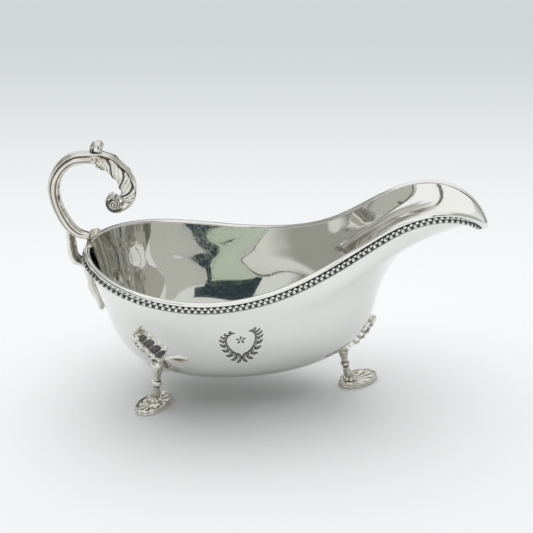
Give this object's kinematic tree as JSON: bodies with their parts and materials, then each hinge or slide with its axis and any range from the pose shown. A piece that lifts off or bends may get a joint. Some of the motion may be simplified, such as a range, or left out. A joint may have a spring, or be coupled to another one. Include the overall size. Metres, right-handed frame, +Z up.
{
  "type": "sauce boat",
  "caption": "Oval silver sauce boat with a drawn spout, beaded border, flying leaf-wrapped scroll handle and cast scallop-shell feet.",
  "frame": {"origin": "middle of the box on the table", "axes": "+X towards the spout, +Y to the left side seen from the handle, +Z up"},
  "size_m": [0.188, 0.0806, 0.1202],
  "materials": {
    "polished_silver": "polished sterling silver with fine wear scratches",
    "border_silver": "polished silver wire, darker in the crevices",
    "cast_silver": "cast and chased silver, brown tarnish in the hollows"
  },
  "bodies": {
    "root": {"body": "polished_silver", "rim_edge_wire": "polished_silver", "beaded_wire": "border_silver", "fillet_wire": "border_silver", "handle_scroll": "cast_silver", "handle_leaf_cap": "cast_silver", "handle_thumb_piece": "cast_silver", "handle_bracket": "cast_silver", "handle_rim_boss": "cast_silver", "front_knee_shell": "cast_silver", "front_leg": "cast_silver", "front_pad": "cast_silver", "rear_right_knee_shell": "cast_silver", "rear_right_leg": "cast_silver", "rear_right_pad": "cast_silver", "rear_left_knee_shell": "cast_silver", "rear_left_leg": "cast_silver", "rear_left_pad": "cast_silver"}
  },
  "joints": []
}
